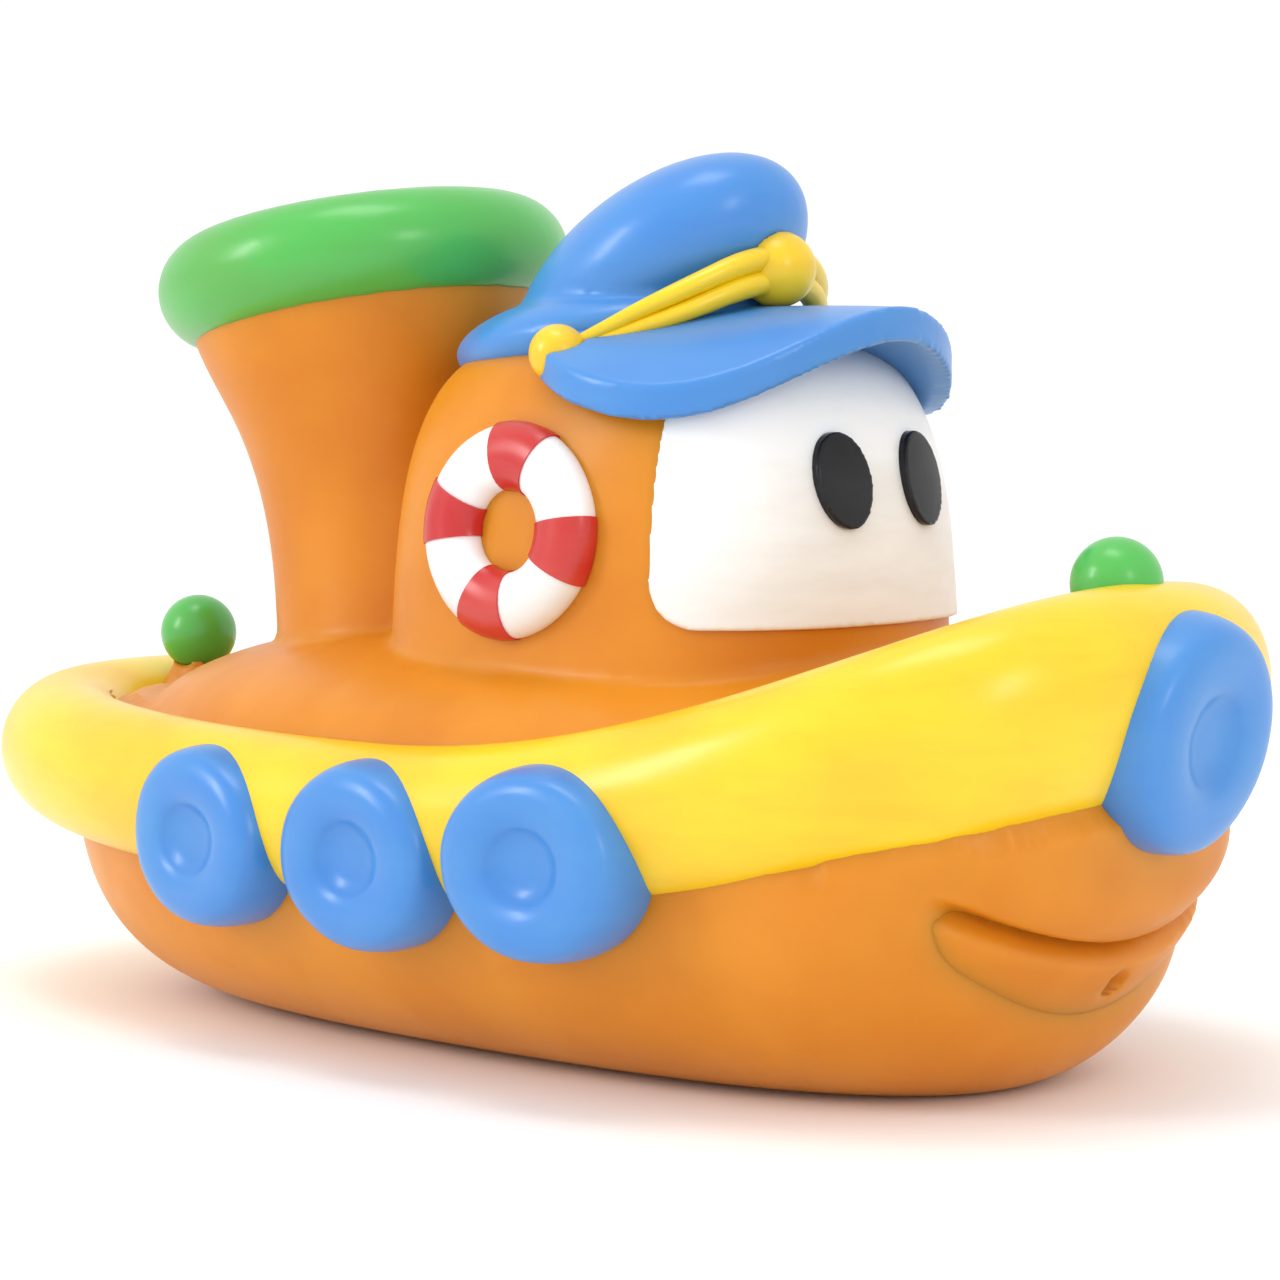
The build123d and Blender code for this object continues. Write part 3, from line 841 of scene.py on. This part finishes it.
def cushion(name, radius, depth, stretch, place, seed):
    outline = [(share * radius - fender["core"], -along * depth, 0) for share, along in fender["profile"]]
    profile = curveObject(name + "Profile", smoothCurve(outline))
    settings = {
        "Core": fender["core"] * mm,
        "Stretch": stretch,
        "Seed": seed,
        "Wobble": 0.5 * mm,
        "Finish": bluePaint,
    }
    return growPiece(name, profile, turnedCushion, settings, place)


def facing(origin, outward, up=Vector((0, 0, 1))):
    # a frame whose Z looks outward and whose X runs level
    ahead = outward.normalized()
    level = up.cross(ahead).normalized()
    over = ahead.cross(level)
    turn = Matrix((level, over, ahead)).transposed().to_4x4()
    return Matrix.Translation(origin * mm) @ turn


seed = 1.0
for sideName, sign in (("starboard", -1), ("port", 1)):
    for placeName, yaw in fender["yaw"].items():
        nodeName = f"fender_{sideName}_{placeName}"
        low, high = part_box(nodeName)
        spot = middleOf(nodeName)
        face = (low.y if sign < 0 else high.y) / mm
        turn = radians(yaw)
        outward = Vector((-sin(turn), sign * cos(turn), 0))
        piece = cushion(
            f"{sideName}{placeName.title()}Fender",
            fender["sideRadius"] - fender["slack"],
            fender["sideDepth"],
            fender["stretch"],
            facing(Vector((spot.x, face - fender["sideSink"] * sign, spot.z)), outward),
            seed,
        )
        standFor(piece, [nodeName], bluePaint)
        seed += fender["seedStep"]
low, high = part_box("bow_fender")
spot = middleOf("bow_fender")
tilt = radians(fender["bowTilt"])
bowFender = cushion(
    "bowFender",
    fender["bowRadius"] - fender["slack"],
    fender["bowDepth"],
    1.0,
    facing(
        Vector((high.x / mm - fender["bowSink"], 0, spot.z + fender["slack"])),
        Vector((cos(tilt), 0, -sin(tilt))),
    ),
    fender["bowSeed"],
)
standFor(bowFender, ["bow_fender"], bluePaint)
print("fenders turned")

buoy = {
    "centreOut": 15.1,  # how far the ring's middle stands from the boat's middle
    "ringRadius": 4.8,
    "halfWidth": 2.12,
    "halfRelief": 1.58,
    "bandShare": 38 / 360,
    "bandRelief": 0.14,
    "turn": -10.0,
    "lean": 5.0,
}
for sideName, sign in (("starboard", -1), ("port", 1)):
    ringSpot = middleOf(f"life_ring_bands_{sideName}")
    ringSpot.y = sign * buoy["centreOut"]
    lean = radians(buoy["lean"])
    place = facing(ringSpot, Vector((0, sign * cos(lean), sin(lean))))
    settings = {
        "Ring Radius": buoy["ringRadius"] * mm,
        "Wobble": 0.25 * mm,
        "Half Width": buoy["halfWidth"] * mm,
        "Half Relief": buoy["halfRelief"] * mm,
        "Share": 1.0,
        "Repeats": 1,
        "Seed": 5.0,
        "Finish": whitePaint,
    }
    start = curveObject("ringSeed", [(0, 0, 0), (1, 0, 0)])
    ring = growPiece(f"{sideName}Buoy", start, repeatedArc, settings, place)
    standFor(ring, [f"life_ring_{sideName}"], whitePaint)
    halfArc = pi * buoy["bandShare"]
    settings.update(
        {
            "Half Width": (buoy["halfWidth"] + buoy["bandRelief"]) * mm,
            "Half Relief": (buoy["halfRelief"] + buoy["bandRelief"]) * mm,
            "Share": buoy["bandShare"],
            "Repeats": 4,
            "Finish": redPaint,
        }
    )
    turned = place @ Matrix.Rotation(radians(buoy["turn"]) - halfArc, 4, "Z")
    start = curveObject("bandSeed", [(0, 0, 0), (1, 0, 0)])
    bands = growPiece(f"{sideName}BuoyBands", start, repeatedArc, settings, turned)
    standFor(bands, [f"life_ring_bands_{sideName}"], redPaint)
print("lifebuoys wound")

capRope = {
    "side": (7.9, 12.0, 45.9),  # the starboard button's mirror
    "back": (11.0, 9.8, 47.5),
    "bend": (14.5, 7.1, 49.3),
    "front": (16.7, 2.5, 51.4),
    "halfSpread": 0.75,  # half the gap between the two strands at the badge
    "backShare": 0.6,
    "thinEnd": 0.5,
    "thickMiddle": 0.95,
}


def ropeStrand(lift):
    lifts = {"side": 0.0, "back": lift * capRope["backShare"], "bend": lift, "front": lift}
    half = []
    for place, raised in lifts.items():
        px, py, pz = capRope[place]
        half.append((px, py, pz + raised))
    mirrored = [(px, -py, pz) for px, py, pz in half]
    return smoothCurve(mirrored + half[::-1])


capBand = growPiece(
    "capBand",
    curveObject("ropePath", ropeStrand(capRope["halfSpread"]), ropeStrand(-capRope["halfSpread"])),
    paintedRope,
    {
        "Thin End": capRope["thinEnd"] * mm,
        "Thick Middle": capRope["thickMiddle"] * mm,
        "Flatness": 0.9,
        "Seed": 2.0,
        "Wobble": 0.35 * mm,
        "Finish": yellowPaint,
    },
    Matrix.Identity(4),
)
standFor(capBand, ["cap_band"], yellowPaint)


# reliefs grown from their CAD forms and sunk a little into what they sit on
def sunkCopy(nodeName, sinks, centre):
    # sinks: how far each extra copy is drawn towards the centre line, and dropped
    shape = bmesh.new()
    for draw, drop in [(0.0, 0.0)] + sinks:
        part = mergedCopy(nodeName, [nodeName])
        for vert in part.verts:
            vert.co.x += (centre[0] * mm - vert.co.x) * draw
            vert.co.y += (centre[1] * mm - vert.co.y) * draw
            vert.co.z -= drop * mm
        mesh = bpy.data.meshes.new("sunk")
        part.to_mesh(mesh)
        part.free()
        shape.from_mesh(mesh)
        bpy.data.meshes.remove(mesh)
    return shape


houseMiddle = (7.2, 0.0)
funnelMiddle = (-21.2, 0.0)
slightly = [(0.03, 0.0), (0.06, 0.0)]
pupilSinks = [(0.02, 0.0), (0.04, 0.0)]
# name, CAD node, finish, mesh size in millimetres, rounds of evening out, sinking copies, towards where
reliefs = [
    ("sternKnob", "stern_bollard_cap", greenPaint, 0.2, 4, [], houseMiddle),
    ("bowKnob", "bow_bollard_cap", greenPaint, 0.2, 4, [], houseMiddle),
    ("funnelRim", "funnel_rim", greenPaint, 0.36, 8, [(0.03, 0.0), (0.06, 0.1), (0.10, 0.2)], funnelMiddle),
    ("capCrown", "cap_crown", bluePaint, 0.33, 14, [(0.02, 0.4), (0.05, 0.8)], houseMiddle),
    ("capPeak", "cap_peak", bluePaint, 0.25, 12, slightly, houseMiddle),
    ("capBadge", "cap_badge", yellowPaint, 0.16, 4, [], houseMiddle),
    ("capButtonStarboard", "cap_button_starboard", yellowPaint, 0.16, 4, [], houseMiddle),
    ("capButtonPort", "cap_button_port", yellowPaint, 0.16, 4, [], houseMiddle),
    ("eyePanel", "eye_panel", whitePaint, 0.2, 5, [(0.025, 0.0), (0.05, 0.0)], houseMiddle),
    ("pupilStarboard", "pupil_starboard", blackPaint, 0.12, 16, pupilSinks, houseMiddle),
    ("pupilPort", "pupil_port", blackPaint, 0.12, 16, pupilSinks, houseMiddle),
]
for name, nodeName, material, grain, rounds, sinks, centre in reliefs:
    relief = evenSkin(name, sunkCopy(nodeName, sinks, centre), grain * mm)
    relax(relief, rounds)
    standFor(relief, [nodeName], material)
print("painted reliefs done")

# floor, camera and lights
stage = {
    "reach": 3.0,
    "colour": (0.97, 0.97, 0.97),
    "eye": (0.1548, -0.1789, 0.0439),
    "turn": 40.0,
    "pitch": -4.22,
    "lens": 97.26,
    "skyStrength": 1.04,
}
floorMesh = bpy.data.meshes.new("studioFloor")
half = stage["reach"]
floorMesh.from_pydata(
    [(-half, -half, 0), (half, -half, 0), (half, half, 0), (-half, half, 0)], [], [(0, 1, 2, 3)]
)
studioFloor = newObject("studioFloor", floorMesh)
floorMaterial = bpy.data.materials.new("studioPaper")
floorMaterial.use_nodes = True
paper = floorMaterial.node_tree.nodes["Principled BSDF"]
paper.inputs["Base Color"].default_value = (*stage["colour"], 1.0)
paper.inputs["Roughness"].default_value = 0.9
floorMesh.materials.append(floorMaterial)

cameraData = bpy.data.cameras.new("studioCamera")
cameraData.lens = stage["lens"]
cameraData.sensor_width = 36.0
cameraData.clip_start = 0.01
camera = bpy.data.objects.new("studioCamera", cameraData)
scene.collection.objects.link(camera)
camera.location = stage["eye"]
camera.rotation_euler = (radians(90 + stage["pitch"]), 0.0, radians(stage["turn"]))
scene.camera = camera


def softBox(name, place, aim, size, power):
    data = bpy.data.lights.new(name, "AREA")
    data.shape = "RECTANGLE"
    data.size, data.size_y = size
    data.energy = power
    lamp = bpy.data.objects.new(name, data)
    scene.collection.objects.link(lamp)
    lamp.location = place
    lamp.rotation_euler = (Vector(aim) - Vector(place)).to_track_quat("-Z", "Y").to_euler()


# name, place, what it points at, size, watts
softBoxes = [
    ("overheadSoftBox", (0.0, -0.1, 0.7), (0, 0, 0.02), (0.34, 0.2), 0.9),
    ("leftSoftBox", (-0.35, -0.55, 0.32), (0, 0, 0.03), (0.12, 0.26), 1.2),
    ("rightSoftBox", (0.65, -0.25, 0.3), (0, 0, 0.03), (0.12, 0.2), 0.5),
]
for box in softBoxes:
    softBox(*box)
world = bpy.data.worlds.new("studioWorld")
scene.world = world
world.use_nodes = True
world.node_tree.nodes["Background"].inputs[0].default_value = (1.0, 1.0, 1.0, 1.0)
world.node_tree.nodes["Background"].inputs[1].default_value = stage["skyStrength"]
scene.view_settings.view_transform = "Standard"
print("studio set")
